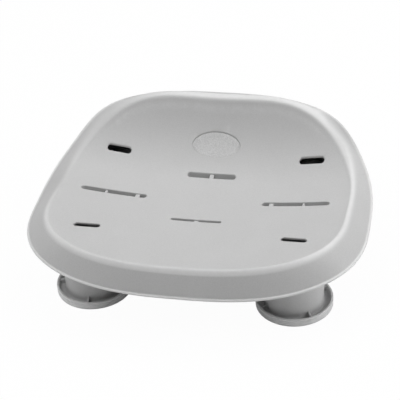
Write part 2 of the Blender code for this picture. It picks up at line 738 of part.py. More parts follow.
def make_foot(corner, x, y, turn):
    """A leg with its cup, stud, washer and nut, all hung on an empty."""
    hub = bpy.data.objects.new("hub_" + corner, None)
    PARTS.objects.link(hub)
    hub.location = (x * MM, y * MM, 0.0)
    hub.rotation_euler = (0.0, 0.0, math.radians(turn))
    pieces = (
        make_leg(corner),
        turned("suction_cup_" + corner, CUP_PROFILE, RUBBER),
        turned("cup_stud_" + corner, STUD_PROFILE, STEEL, STUD_FACETS),
        turned("cup_washer_" + corner, WASHER_PROFILE, STEEL, WASHER_FACETS),
        make_nut(corner),
    )
    for piece in pieces:
        bake(piece)
        smooth(piece, 30)
        piece.parent = hub


make_shell()
make_plate()
for corner_name, placing in CORNERS.items():
    make_foot(corner_name, *placing)
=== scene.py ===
"""Moulded bath or shower seat: a dished, ribbed shell on four tubular legs, each with a
suction cup on a steel stud. The floor is z = 0, the front faces -Y and the right is +X.
Shapes are worked out in millimetres and turned into metres as each mesh is made."""
import math
import bpy
import bmesh
from mathutils import Matrix, Vector


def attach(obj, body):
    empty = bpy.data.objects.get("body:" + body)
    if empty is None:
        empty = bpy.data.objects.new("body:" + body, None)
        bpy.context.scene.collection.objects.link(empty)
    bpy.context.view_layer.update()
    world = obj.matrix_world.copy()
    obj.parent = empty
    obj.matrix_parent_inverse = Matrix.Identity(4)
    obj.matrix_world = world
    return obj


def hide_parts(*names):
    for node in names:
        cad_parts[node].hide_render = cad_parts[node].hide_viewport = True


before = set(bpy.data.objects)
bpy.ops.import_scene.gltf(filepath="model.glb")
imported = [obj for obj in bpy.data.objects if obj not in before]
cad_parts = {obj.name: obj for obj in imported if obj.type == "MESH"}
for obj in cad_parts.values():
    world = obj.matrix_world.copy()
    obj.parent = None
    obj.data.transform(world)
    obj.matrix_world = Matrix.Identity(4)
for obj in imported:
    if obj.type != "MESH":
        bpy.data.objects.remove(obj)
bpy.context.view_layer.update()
scene = bpy.context.scene
MM = 0.001

# ---- sizes (mm) ---------------------------------------------------------------
SKIN = 3.0
# upper surface: height at the origin, slope in y, dish in x, cubic rise behind REAR_Y
SURF_H0, SURF_SLOPE, SURF_DISH, SURF_REAR, SURF_REAR_Y = 77.8, -0.102, 0.000441, 3.35e-5, -1.7
# plan outlines are superellipses, with their own length and power at the rear and the front
CROWN_Y = -14.0
CROWN = dict(half_width=176.0, rear=158.0, front=127.0, y=CROWN_Y, rear_power=3.6, front_power=2.75)
LIP = dict(half_width=200.0, rear=169.8, front=134.0, y=-17.9, rear_power=3.0, front_power=2.7)
CROWN_RISE, CROWN_ROUND_IN, ROUND_OUT_FRONT, ROUND_OUT_REAR = 1.0, 5.0, 0.60, 0.80
SOFT_RISE = CROWN_RISE / 0.75          # rise of the surface's soft curve at the rim
BAND_REAR, BAND_RISE = 5.2, 1.3        # width and rise of the level band along the rear
LIP_Z = (75.85, 6.0, 10.4, 8.9)        # cubic in y / 100
LIP_LIFT = (12.2, 127.5, 26.0)         # height, y and spread of the lift at the rear
LIP_FLANGE, LIP_THICK = 2.6, 3.0
BEAD_R = LIP_THICK / 2

LEG_X, LEG_Y_FRONT, LEG_Y_REAR = 119.0, -68.5, 85.5
# corner: short name, x, y, turn about Z in degrees
CORNERS = {
    "front_left": ("fl", -LEG_X, LEG_Y_FRONT, 3.6),
    "front_right": ("fr", LEG_X, LEG_Y_FRONT, 36.1),
    "rear_left": ("rl", -LEG_X, LEG_Y_REAR, 36.1),
    "rear_right": ("rr", LEG_X, LEG_Y_REAR, 3.6),
}
TUBE_R, TUBE_WALL, LEG_TOP, DISH_R = 34.2, 3.0, 77.0, 44.8
WEB = (10.0, 12.6)                     # bottom and top of the disc across the tube
DRAIN_R, DRAIN_OUT = 4.0, 20.0
LUG_Z, LUG_OUT, LUG_W, LUG_COUNT, TWIST = (66.0, 70.0), 2.6, 10.0, 3, 30.0
LUG_ROOT = TUBE_R - 1.5
LUG_ANGLES = [45.0 + 360.0 / LUG_COUNT * k for k in range(LUG_COUNT)]
SOCKET_GAP, SOCKET_WALL, SOCKET_Z = 0.5, 3.4, 50.0
BORE_R = TUBE_R + SOCKET_GAP
SOCKET_R = BORE_R + SOCKET_WALL
CUP_R = 40.8

# ribs under the seat, as centre line: thickness
RIBS_X = {0.0: 5.0, -81.0: 5.0, 81.0: 5.0, -119.3: 2.5, 119.3: 2.5}
RIBS_Y = {-100.0: 2.2, -10.0: 2.2, 36.0: 2.2}
RIB_DEPTH, COLLAR = 11.0, 2.0
RIB_SHARE, RIB_SINK = 0.935, 1.3       # share of the plan the ribs fill; sink below the surface

# slots: left x, right x, y, width, toe (y shift per mm outwards), mirrored to the left
SLOTS = [
    (104.6, 134.8, 85.5, 7.6, 0.03, True),
    (69.8, 149.8, 13.4, 8.1, 0.0, True),
    (105.0, 135.0, -69.5, 8.0, -0.16, True),
    (-29.7, 29.7, 63.0, 6.9, 0.0, False),
    (-29.9, 29.9, -32.4, 4.6, 0.0, False),
]
LONG_SLOT = 40.0                       # slots longer than this are deeper and have a collar
SHORT_DEPTH, LONG_DEPTH, BRIDGE = 9.0, 14.0, 1.75
SLOT_FLARE, OVAL_FLARE = 1.1, 0.5
OVAL_Y, OVAL_A, OVAL_B, OVAL_DEPTH, PLATE_T, GAP = 98.7, 29.8, 12.4, 1.8, 0.8, 0.3
AROUND, TURNED, OVAL_STEPS = 216, 96, 120


# ---- the seat's rules ---------------------------------------------------------
def surface(x, y):
    """Height of the seat's upper surface."""
    behind = max(0.0, y - SURF_REAR_Y)
    return SURF_H0 + SURF_SLOPE * y + SURF_DISH * x * x + SURF_REAR * behind ** 3


def surface_normal(x, y):
    behind = max(0.0, y - SURF_REAR_Y)
    slope_y = SURF_SLOPE + 3 * SURF_REAR * behind * behind
    return Vector((-2 * SURF_DISH * x, -slope_y, 1.0)).normalized()


def below_surface(x, y, drop):
    """Height at which a point lies drop mm under the surface, measured square to it."""
    return surface(x, y) - drop / surface_normal(x, y).z


def end_shape(rule, side):
    """Power and half length of an outline's rear (side >= 0) or front."""
    end = "rear" if side >= 0 else "front"
    return rule[end + "_power"], rule[end]


def outline(rule, angle):
    """Plan point of an outline; angle 0 is the rear and a quarter turn the right."""
    across, along = math.sin(angle), math.cos(angle)
    power, length = end_shape(rule, along)

    def bent(value):
        return math.copysign(abs(value) ** (2 / power), value) if abs(value) > 1e-9 else 0.0

    return rule["half_width"] * bent(across), length * bent(along) + rule["y"]


def plan_share(rule, x, y):
    """0 at an outline's middle and 1 on the outline."""
    side = y - rule["y"]
    power, length = end_shape(rule, side)
    return ((abs(x) / rule["half_width"]) ** power + (abs(side) / length) ** power) ** (1 / power)


def even_angles(count):
    """Angles that step evenly along the lip, right half first and then its mirror."""
    dense = 2880
    points = [outline(LIP, 2 * math.pi * i / dense) for i in range(dense + 1)]
    run = [0.0]
    for start, end in zip(points, points[1:]):
        run.append(run[-1] + math.hypot(end[0] - start[0], end[1] - start[1]))
    half, angles, j = run[dense // 2], [0.0], 0
    for i in range(1, count // 2 + 1):
        want = half * i / (count // 2)
        while run[j] < want - 1e-9:
            j += 1
        part = (want - run[j - 1]) / (run[j] - run[j - 1])
        angles.append(2 * math.pi * (j - 1 + part) / dense)
    angles[-1] = math.pi
    return angles + [2 * math.pi - angle for angle in reversed(angles[1:-1])]


ANGLES = even_angles(AROUND)


def lip_height(y):
    v = y / 100.0
    lift = LIP_LIFT[0] * math.exp(-((y - LIP_LIFT[1]) / LIP_LIFT[2]) ** 2)
    return LIP_Z[0] + LIP_Z[1] * v + LIP_Z[2] * v * v + LIP_Z[3] * v ** 3 + lift


def inside_skin(x, y):
    """Height within the skin that the ribs reach up to, falling steeply near the rim."""
    share = plan_share(CROWN, x, y)
    k = min(1.0, RIB_SHARE / share) if share > 0 else 1.0
    height = surface(x * k, CROWN_Y + (y - CROWN_Y) * k)
    return height - RIB_SINK - 60.0 * max(0.0, share - RIB_SHARE)


def rear_share(y):
    """0 at the front and sides, 1 along the rear, where the rim is a level band."""
    u = max(0.0, min(1.0, (y - 40.0) / 90.0))
    return u * u * (3 - 2 * u)


# ---- mesh helpers -------------------------------------------------------------
def mesh_from(name, verts, faces):
    """Mesh in metres out of millimetre points, with its faces turned outwards."""
    mesh = bpy.data.meshes.new(name)
    mesh.from_pydata([(v[0] * MM, v[1] * MM, v[2] * MM) for v in verts], [], faces)
    work = bmesh.new()
    work.from_mesh(mesh)
    bmesh.ops.recalc_face_normals(work, faces=list(work.faces))
    work.to_mesh(mesh)
    work.free()
    return mesh


def mesh_of(name, work):
    """Mesh out of a bmesh, which is freed."""
    mesh = bpy.data.meshes.new(name)
    work.to_mesh(mesh)
    work.free()
    return mesh


def walls(size, pairs):
    """Quads between pairs of rings of this many points."""
    faces = []
    for k, m in pairs:
        for i in range(size):
            j = (i + 1) % size
            faces.append((k * size + i, k * size + j, m * size + j, m * size + i))
    return faces


def stacked(name, rings, first=None, last=None, closed=False):
    """Skin over a list of equal rings, fanned to a point at either end or closed on itself."""
    size = len(rings[0])
    verts = [tuple(p) for ring in rings for p in ring]
    end = len(rings) - 1
    faces = walls(size, [(k, k + 1) for k in range(end)] + ([(end, 0)] if closed else []))
    if first is not None:
        verts.append(tuple(first))
        faces += [(len(verts) - 1, (i + 1) % size, i) for i in range(size)]
    if last is not None:
        verts.append(tuple(last))
        base = end * size
        faces += [(len(verts) - 1, base + i, base + (i + 1) % size) for i in range(size)]
    return mesh_from(name, verts, faces)


def rounded(corners, closed=True, parts=4):
    """Profile through (r, z, fillet radius) corners with each corner filleted."""
    profile = []
    count = len(corners)
    for i, (x, z, fillet) in enumerate(corners):
        point = Vector((x, z))
        if (not closed and i in (0, count - 1)) or fillet <= 0:
            profile.append(point)
            continue
        back = Vector(corners[i - 1][:2]) - point
        ahead = Vector(corners[(i + 1) % count][:2]) - point
        back_len, ahead_len = back.length, ahead.length
        back.normalize()
        ahead.normalize()
        angle = math.acos(max(-1.0, min(1.0, back.dot(ahead))))
        if angle > math.pi - 0.02:
            profile.append(point)
            continue
        cut = min(fillet / math.tan(angle / 2), 0.48 * back_len, 0.48 * ahead_len)
        radius = cut * math.tan(angle / 2)
        centre = point + (back + ahead).normalized() * (radius / math.sin(angle / 2))
        start, end = point + back * cut - centre, point + ahead * cut - centre
        from_angle, to_angle = math.atan2(start.y, start.x), math.atan2(end.y, end.x)
        sweep = (to_angle - from_angle + math.pi) % (2 * math.pi) - math.pi
        for k in range(parts + 1):
            turn = from_angle + sweep * k / parts
            profile.append(centre + Vector((math.cos(turn), math.sin(turn))) * radius)
    return profile


def circle(radius, z, steps, x=0.0, y=0.0):
    return [(x + radius * math.cos(2 * math.pi * i / steps),
             y + radius * math.sin(2 * math.pi * i / steps), z) for i in range(steps)]


def lathe(name, profile, steps=TURNED):
    """Profile of (r, z) turned round Z; one that starts on the axis also ends on it."""
    on_axis = profile[0][0] < 1e-6
    body = profile[1:-1] if on_axis else profile
    rings = [circle(r, z, steps) for r, z in body]
    if on_axis:
        return stacked(name, rings, (0, 0, profile[0][1]), (0, 0, profile[-1][1]))
    return stacked(name, rings, closed=True)


def drum(name, radius, low, high, x=0.0, y=0.0, steps=TURNED):
    rings = [circle(radius, z, steps, x, y) for z in (low, high)]
    return stacked(name, rings, (x, y, low), (x, y, high))


def slab(name, lo, hi, matrix=None, bevel=0.0):
    work = bmesh.new()
    bmesh.ops.create_cube(work, size=1.0)
    for v in work.verts:
        v.co = Vector([(a + b) / 2 + c * (b - a) for a, b, c in zip(lo, hi, v.co)]) * MM
    if bevel:
        bmesh.ops.bevel(work, geom=list(work.edges), offset=bevel * MM, segments=2,
                        profile=0.5, affect='EDGES')
    if matrix:
        work.transform(matrix)
    return mesh_of(name, work)


def sector(name, x, y, radii, degrees, heights, steps):
    """Block between two radii, two angles and two heights round an upright axis."""
    (r_in, r_out), (start, end) = radii, degrees
    arc = []
    for i in range(steps + 1):
        angle = math.radians(start + (end - start) * i / steps)
        arc.append((math.cos(angle), math.sin(angle)))
    loop = [(x + r_out * c, y + r_out * s) for c, s in arc]
    loop += [(x + r_in * c, y + r_in * s) for c, s in reversed(arc)]
    size = len(loop)
    faces = walls(size, [(0, 1)])
    for base in (0, size):
        for i in range(steps):
            faces.append((base + i, base + i + 1, base + size - 2 - i, base + size - 1 - i))
    return mesh_from(name, [(px, py, z) for z in heights for px, py in loop], faces)


def joined(name, meshes):
    work = bmesh.new()
    for mesh in meshes:
        work.from_mesh(mesh)
    return mesh_of(name, work)


def cut_away(target, steps):
    """Runs (mesh, operation) booleans on a mesh one after another and returns the result."""
    obj = bpy.data.objects.new("work", target)
    scene.collection.objects.link(obj)
    made = [obj]
    for mesh, operation in steps:
        tool = bpy.data.objects.new("tool", mesh)
        scene.collection.objects.link(tool)
        made.append(tool)
        mod = obj.modifiers.new("b", 'BOOLEAN')
        mod.object, mod.operation, mod.solver = tool, operation, 'MANIFOLD'
    bpy.context.view_layer.update()
    graph = bpy.context.evaluated_depsgraph_get()
    done = bpy.data.meshes.new_from_object(obj.evaluated_get(graph))
    for temporary in made:
        bpy.data.objects.remove(temporary, do_unlink=True)
    return done


def piece(name, mesh, body, node, material, matrix=None, sharp=35):
    """One shown piece that stands for a CAD node and rides on its body."""
    if matrix:
        mesh.transform(matrix)
    mesh.materials.clear()
    mesh.materials.append(material)
    mesh.shade_smooth()
    mesh.set_sharp_from_angle(angle=math.radians(sharp))
    obj = bpy.data.objects.new(name, mesh)
    scene.collection.objects.link(obj)
    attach(obj, body)
    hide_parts(node)
    return obj


# ---- finishes -----------------------------------------------------------------
def new_material(name):
    material = bpy.data.materials.new(name)
    material.use_nodes = True
    tree = material.node_tree
    return material, tree, tree.nodes["Principled BSDF"]


def set_inputs(tree, node, values):
    """Links each value that is a socket, and sets the others as plain values."""
    for key, value in values.items():
        if isinstance(value, bpy.types.NodeSocket):
            tree.links.new(value, node.inputs[key])
        else:
            node.inputs[key].default_value = value


def add(tree, kind, inputs={}, **settings):
    node = tree.nodes.new(kind)
    for key, value in settings.items():
        setattr(node, key, value)
    set_inputs(tree, node, inputs)
    return node


def noise(tree, coord, scale, detail, rough):
    return add(tree, "ShaderNodeTexNoise", {
        "Scale": scale, "Detail": detail, "Roughness": rough, "Vector": coord}).outputs["Fac"]


def remap(tree, value, span, to):
    """Maps the span (low, high) of a value onto another."""
    return add(tree, "ShaderNodeMapRange", {
        0: value, 1: span[0], 2: span[1], 3: to[0], 4: to[1]}).outputs[0]


def mixed(tree, factor, one, two, blend='MIX'):
    # 0, 6 and 7 are the factor and the two colours; output 2 is the mixed colour
    return add(tree, "ShaderNodeMix", {0: factor, 6: one, 7: two},
               data_type='RGBA', blend_type=blend).outputs[2]


def calculated(tree, operation, *values):
    return add(tree, "ShaderNodeMath", dict(enumerate(values)), operation=operation).outputs[0]


def bumped(tree, height, strength, distance):
    return add(tree, "ShaderNodeBump", {
        "Strength": strength, "Distance": distance, "Height": height}).outputs["Normal"]


def grey(value, warm=0.0):
    return (value * (1 + warm), value, value * (1 - warm), 1.0)


def plastic(name, base, rough, grain, grain_size, speckle=0.03, edge_wear_and_highlight=0.06, rim=0.0):
    """Moulded plastic: fine grain (size in mm), faint mottling and specks, paler pointy edges
    (use, and a painted highlight); rim is how much paler the marked ridges are, a painted
    highlight."""
    material, tree, bsdf = new_material(name)
    coord = add(tree, "ShaderNodeTexCoord").outputs["Object"]
    fine = noise(tree, coord, scale=1000.0 / grain_size, detail=1.5, rough=0.6)
    broad = noise(tree, coord, scale=22.0, detail=3.0, rough=0.55)
    specks = noise(tree, coord, scale=1000.0 / 1.3, detail=1.0, rough=0.5)
    mottle = remap(tree, broad, span=(0.3, 0.7), to=(0.0, 1.0))
    colour = mixed(tree, mottle, grey(base * 0.985), grey(base * 1.015))
    speck_mask = remap(tree, specks, span=(0.35, 0.65), to=(0.0, 1.0))
    darker = mixed(tree, 1.0, colour, grey(1 - speckle), 'MULTIPLY')
    paler = mixed(tree, 1.0, colour, grey(1 + speckle), 'MULTIPLY')
    colour = mixed(tree, speck_mask, darker, paler)
    # pointy edges made paler: from use, and on the seat also a painted highlight at the slot lips
    # and bead
    edge = add(tree, "ShaderNodeNewGeometry").outputs["Pointiness"]
    paler_edges = remap(tree, edge, span=(0.52, 0.60), to=(0.0, edge_wear_and_highlight))
    scuff = noise(tree, coord, scale=160.0, detail=4.0, rough=0.7)
    patchy_paler_edges = calculated(tree, 'MULTIPLY', paler_edges,
                         remap(tree, scuff, span=(0.4, 0.7), to=(0.3, 1.0)))
    colour = mixed(tree, patchy_paler_edges, colour, grey(min(1.0, base * 1.5)))
    roughness = remap(tree, broad, span=(0.3, 0.7), to=(rough - 0.04, rough + 0.04))
    if rim:
        # ridges painted paler as a highlight, unevenly, and made smoother
        mark = add(tree, "ShaderNodeAttribute", attribute_name="rim").outputs["Fac"]
        patchy = calculated(tree, 'MULTIPLY', mark,
                            remap(tree, scuff, span=(0.35, 0.65), to=(0.85, 1.0)))
        colour = mixed(tree, patchy, colour, grey(base * (1 + rim)))
        rubbed_smoother = -0.16
        roughness = calculated(tree, 'MULTIPLY_ADD', patchy, rubbed_smoother, roughness)
    set_inputs(tree, bsdf, {
        "Base Color": colour, "Roughness": roughness,
        "Normal": bumped(tree, fine, strength=grain, distance=0.00012),
        "IOR": 1.46, "Specular IOR Level": 0.35})
    return material


def brushed_steel(name, base, rough):
    """Brushed stainless steel: fine turned lines round the axis, and slight staining."""
    material, tree, bsdf = new_material(name)
    coord = add(tree, "ShaderNodeTexCoord").outputs["Object"]
    stretch = add(tree, "ShaderNodeMapping", {"Scale": (40.0, 40.0, 6000.0), "Vector": coord})
    lines = noise(tree, stretch.outputs["Vector"], scale=1.0, detail=3.0, rough=0.6)
    stain = noise(tree, coord, scale=300.0, detail=4.0, rough=0.6)
    stained = remap(tree, stain, span=(0.45, 0.75), to=(0.0, 0.5))
    colour = mixed(tree, stained, grey(base, warm=0.01), grey(base * 0.8, warm=0.04))
    edge = add(tree, "ShaderNodeNewGeometry").outputs["Pointiness"]
    paler_edges = remap(tree, edge, span=(0.53, 0.62), to=(0.0, 0.4))
    colour = mixed(tree, paler_edges, colour, grey(min(1.0, base * 1.3)))
    set_inputs(tree, bsdf, {
        "Base Color": colour,
        "Roughness": remap(tree, lines, span=(0.3, 0.7), to=(rough - 0.08, rough + 0.08)),
        "Normal": bumped(tree, lines, strength=0.3, distance=0.00004),
        "Metallic": 1.0})
    return material


# rim sets the painted highlight on marked ridges and the foot's rim; the seat's stronger paler
# edges are partly a painted highlight at its slot lips
SEAT_MAT = plastic("seat_plastic", base=0.50, rough=0.45, grain=0.35, grain_size=0.55,
                   edge_wear_and_highlight=0.2, rim=0.40)
LEG_MAT = plastic("leg_plastic", base=0.56, rough=0.42, grain=0.25, grain_size=0.55, rim=0.40)
PLATE_MAT = plastic("plate_blasted", base=0.535, rough=0.58, grain=0.9, grain_size=0.9,
                    speckle=0.10)
CUP_MAT = plastic("cup_rubber", base=0.20, rough=0.60, grain=0.2, grain_size=0.8, speckle=0.02)
STEEL_MAT = brushed_steel("stainless", base=0.60, rough=0.30)


# ---- seat skin ----------------------------------------------------------------
def bezier(a, b, c, u):
    return a * (1 - u) ** 2 + b * 2 * u * (1 - u) + c * u * u


def seat_column(angle):
    """Points from the seat's middle to near the foot of the skirt; also that foot, the
    outward direction and the direction down the skirt."""
    crown_x, crown_y = outline(CROWN, angle)
    lip_x, lip_y = outline(LIP, angle)
    lip = Vector((lip_x, lip_y, lip_height(lip_y) + LIP_THICK / 2))
    out = Vector((lip_x - crown_x, lip_y - crown_y, 0.0)).normalized()
    foot = lip - out * LIP_FLANGE
    middle = Vector((0, CROWN_Y, 0))
    flat = Vector((crown_x, crown_y - CROWN_Y, 0.0))
    rear = rear_share(crown_y)
    band = BAND_REAR * rear                    # level band between the crease and the crown
    reach = flat.length - band
    flat.normalize()

    def seat_point(short):
        """Point of the seat surface this far short of the band, rising softly to it."""
        x, y, _ = middle + flat * (reach - short)
        rise = SOFT_RISE * max(0.0, 1 - short / (2 * CROWN_ROUND_IN)) ** 2
        return Vector((x, y, surface(x, y) + rise))

    crease = seat_point(CROWN_ROUND_IN)
    crown_z = (1 - rear) * (surface(crown_x, crown_y) + CROWN_RISE) + rear * (crease.z + BAND_RISE)
    crown = Vector((crown_x, crown_y, crown_z))
    inner = reach - 2 * CROWN_ROUND_IN
    column = [seat_point(reach - inner * k / 30) for k in range(1, 31)]
    soft = 0.3 + 1.7 * rear                    # rounding of the crease
    column += [seat_point(CROWN_ROUND_IN + soft * k) for k in (2.6, 1.5)]
    before = seat_point(CROWN_ROUND_IN + soft)
    across = (crown - crease).normalized()
    column += [bezier(before, crease, crease + across * soft, k / 5) for k in range(6)]
    # the band, then the crown's rounding
    if band > 1.0:
        column.append(crease + across * (0.5 * (soft + band + soft + 0.2)))
    else:
        column.append(crease + across * (soft + 0.1))
    round_in = crease + (crown - crease) * ((band + soft + 0.2) / (band + CROWN_ROUND_IN))
    column.append(round_in)
    round_share = ROUND_OUT_FRONT + (ROUND_OUT_REAR - ROUND_OUT_FRONT) * rear
    round_out = crown + (foot - crown) * round_share
    column += [bezier(round_in, crown, round_out, k / 14) for k in range(1, 15)]
    down = foot - round_out
    run = down.length
    down.normalize()
    column += [round_out + down * ((run - 1.2) * k / 5) for k in range(1, 6)]
    return column, foot, out, down


def bead_points(skirt_end, inner_end, foot, out, down):
    """Rolled bead from the end of the skirt's outside round to its inside."""
    points = [bezier(skirt_end, foot, foot + out * 0.9, u) for u in (0.3, 0.6, 1.0)]
    centre = foot + out * (LIP_FLANGE - BEAD_R) - Vector((0, 0, BEAD_R))
    for k in range(1, 12):
        turn = math.pi / 2 - math.pi * k / 12
        points.append(centre + out * (BEAD_R * math.cos(turn))
                      + Vector((0, 0, BEAD_R * math.sin(turn))))
    low = foot.z - LIP_THICK
    points.append(Vector((centre.x, centre.y, low)))
    run = (low - inner_end.z) / down.z if down.z < -0.2 else 0.0
    corner = inner_end + down * max(0.0, min(4.0, run))
    corner.z = low
    points.append(corner + out * 0.3)
    points.append(corner + Vector((0, 0, 0.3)) - out * 0.1)
    return points


def seat_skin():
    """The whole moulded skin as one closed body, with the rolled bead along its edge."""
    columns = [seat_column(angle) for angle in ANGLES]
    count, depth = len(columns), len(columns[0][0])
    rings = [[column[0][k] for column in columns] for k in range(depth)]
    centre = Vector((0, CROWN_Y, surface(0, CROWN_Y)))
    # the inner face is offset along normals from differences along and across the rings
    inner = []
    for k in range(depth):
        ring = []
        for i in range(count):
            along = rings[k][(i + 1) % count] - rings[k][i - 1]
            before = rings[k - 1][i] if k else centre
            after = rings[k + 1][i] if k + 1 < depth else rings[k][i]
            normal = along.cross(after - before).normalized()
            if normal.z < 0:
                normal = -normal
            ring.append(rings[k][i] - normal * SKIN)
        inner.append(ring)
    beads = [bead_points(column[-1], inner[-1][i], foot, out, down)
             for i, (column, foot, out, down) in enumerate(columns)]
    bead_rings = [list(ring) for ring in zip(*beads)]
    # the flatter inner part of the underside needs only every other ring
    under = [inner[k] for k in reversed(range(depth)) if k % 2 == 0 or k > 30]
    return stacked("seat_skin", rings + bead_rings + under, centre, centre - Vector((0, 0, SKIN)))


# ---- bodies added to the skin and cut from it ---------------------------------
SHARES = (0.1, 0.2, 0.3, 0.4, 0.5, 0.6, 0.68, 0.76, 0.84, 0.9, 0.93)


def zone(name, lower, upper, shares):
    """Solid between two height rules, over the crown's outline scaled by the shares."""
    rim = [outline(CROWN, angle) for angle in ANGLES]
    plan = [[(x * s, CROWN_Y + (y - CROWN_Y) * s) for x, y in rim] for s in shares]
    top = [[(x, y, upper(x, y)) for x, y in ring] for ring in plan]
    low = [[(x, y, lower(x, y)) for x, y in ring] for ring in reversed(plan)]
    return stacked(name, top + low, (0.0, CROWN_Y, upper(0.0, CROWN_Y)),
                   (0.0, CROWN_Y, lower(0.0, CROWN_Y)))


def slot_spans():
    """Each slot as left x, right x, y, width, toe and whether it is long."""
    for left, right, y, width, toe, mirrored in SLOTS:
        is_long = right - left > LONG_SLOT
        if mirrored:
            yield -right, -left, y, width, toe, is_long
        yield left, right, y, width, toe, is_long


def rib_body():
    """Ribs both ways and a collar round each long slot, trimmed to the underside."""
    low, high = 30, 180
    bars = [slab("rib", (x - w / 2, -150, low), (x + w / 2, 122, high))
            for x, w in RIBS_X.items()]
    bars += [slab("cross", (-170, y - w / 2, low), (170, y + w / 2, high))
             for y, w in RIBS_Y.items()]
    for left, right, y, width, _, is_long in slot_spans():
        if is_long:
            bars.append(slab("collar", (left - COLLAR, y - width / 2 - COLLAR, low),
                             (right + COLLAR, y + width / 2 + COLLAR, high)))
    limits = zone("rib_zone", lambda x, y: inside_skin(x, y) - RIB_DEPTH, inside_skin, SHARES)
    return cut_away(bars[0], [(bar, 'UNION') for bar in bars[1:]] + [(limits, 'INTERSECT')])


def socket_posts():
    under = zone("under", lambda x, y: SOCKET_Z - 20.0, inside_skin, SHARES + (0.96, 1.0, 1.05))
    posts = [drum("post", SOCKET_R, SOCKET_Z, 150.0, x, y) for _, x, y, _ in CORNERS.values()]
    return cut_away(posts[0], [(post, 'UNION') for post in posts[1:]] + [(under, 'INTERSECT')])


def socket_bores():
    roof = zone("roof", lambda x, y: 20.0, lambda x, y: inside_skin(x, y) - 1.3,
                SHARES + (0.96, 1.0))
    bores = [drum("bore", BORE_R, SOCKET_Z - 5.0, 160.0, x, y) for _, x, y, _ in CORNERS.values()]
    return cut_away(joined("bores", bores), [(roof, 'INTERSECT')])


def lug_grooves():
    """Level runs the lugs turn along, and the upright entries that lead up to them."""
    half = math.degrees((LUG_W / 2 + 0.6) / (TUBE_R + 1.0))
    radii = (LUG_ROOT, SOCKET_R + 2.5)
    runs, entries = [], []
    for _, x, y, turn in CORNERS.values():
        for angle in LUG_ANGLES:
            base = turn + angle
            runs.append(sector("run", x, y, radii, (base - half, base + TWIST + half),
                               (LUG_Z[0] - 0.5, LUG_Z[1] + 0.5), steps=16))
            entries.append(sector("entry", x, y, radii,
                                  (base + TWIST - half, base + TWIST + half),
                                  (SOCKET_Z - 3.0, LUG_Z[0] + 0.2), steps=6))
    return joined("runs", runs), joined("entries", entries)


def flared(depth, radius, degrees):
    """(drop, outset) levels of an opening: straight up, then rounded towards the surface."""
    levels = [(depth, 0.0), (radius, 0.0)]
    for angle in map(math.radians, degrees):
        levels.append((radius * (1 - math.sin(angle)), radius * (1 - math.cos(angle))))
    return levels


def stadium(left, right, radius, bridges, steps=10):
    """Long side of a slot's outline as (x, offset) pairs, the same x on both sides."""
    turns = [math.pi / 2 * k / steps for k in range(steps + 1)]
    cap = [(left + radius - radius * math.cos(t), radius * math.sin(t)) for t in turns]
    straight = right - left - 2 * radius
    count = max(2, round(straight / 4.0))
    mid = [left + radius + straight * k / count for k in range(1, count)]
    for a, b in bridges:
        mid = [x for x in mid if not a - 0.6 < x < b + 0.6]
        mid += [a - 0.02, a + 0.02, b - 0.02, b + 0.02]
    mid.sort()
    far_cap = [(left + right - x, side) for x, side in reversed(cap)]
    return cap + [(x, radius) for x in mid] + far_cap


def slot_tool(left, right, y, width, toe, is_long):
    """Slot cutter with rounded ends, an opening that flares into the surface, and a raised
    floor where a rib bridges the slot."""
    radius = width / 2
    depth = LONG_DEPTH if is_long else SHORT_DEPTH
    bridges = sorted((x - w / 2, x + w / 2) for x, w in RIBS_X.items()
                     if is_long and left < x < right)
    levels = flared(depth, SLOT_FLARE, (18, 36, 54, 72))
    drop, outset = levels[-1]
    levels.append((-0.35, outset + (drop + 0.35) * math.tan(math.radians(72))))
    levels.append((-6.0, levels[-1][1] + 0.01))
    base = stadium(left, right, radius, bridges)
    rings = []
    for drop, outset in levels:
        grow = (radius + outset) / radius
        side = []
        for x, offset in base:
            floor = drop
            if drop == depth and any(a - 1e-6 <= x <= b + 1e-6 for a, b in bridges):
                floor = BRIDGE
            if x <= left + radius + 1e-9:
                x = left + radius + (x - left - radius) * grow
            elif x >= right - radius - 1e-9:
                x = right - radius + (x - right + radius) * grow
            side.append((x, offset * grow, floor))
        loop = [(x, y + offset, floor) for x, offset, floor in side]
        loop += [(x, y - offset, floor) for x, offset, floor in reversed(side[1:-1])]
        loop = [(x, py + toe * (abs(x) - abs(left + right) / 2), floor) for x, py, floor in loop]
        rings.append([(x, py, surface(x, py) - floor) for x, py, floor in loop])
    # close bottom and top with a strip from one long side to the other
    size, end = len(rings[0]), len(rings) - 1
    faces = walls(size, [(k, k + 1) for k in range(end)])
    for first in (0, end * size):
        for i in range(len(base) - 1):
            corners = dict.fromkeys((i, i + 1, (size - i - 1) % size, (size - i) % size))
            faces.append(tuple(first + corner for corner in corners))
    return mesh_from("slot", [point for ring in rings for point in ring], faces)


def oval_ring(drop, outset, share=1.0):
    """Oval drop mm under the surface, outset mm beyond the pocket's outline."""
    ring = []
    for i in range(OVAL_STEPS):
        angle = 2 * math.pi * i / OVAL_STEPS
        x = (OVAL_A + outset) * math.sin(angle) * share
        y = OVAL_Y + (OVAL_B + outset) * math.cos(angle) * share
        ring.append((x, y, below_surface(x, y, drop)))
    return ring


def oval_pocket():
    """Cutter for the shallow oval pocket near the rear of the seat."""
    levels = flared(OVAL_DEPTH, OVAL_FLARE, (24, 48, 72))
    levels += [(-0.3, 0.345 + 0.325 * math.tan(math.radians(72))), (-5.0, 1.4)]
    floor = [oval_ring(OVAL_DEPTH, 0.0, share) for share in (0.34, 0.67)]
    top = [[(x, y, surface(x, y) + 5.0) for x, y, _ in ring] for ring in reversed(floor)]
    return stacked("pocket", floor + [oval_ring(*level) for level in levels] + top,
                   (0, OVAL_Y, below_surface(0, OVAL_Y, OVAL_DEPTH)),
                   (0, OVAL_Y, surface(0, OVAL_Y) + 5.0))


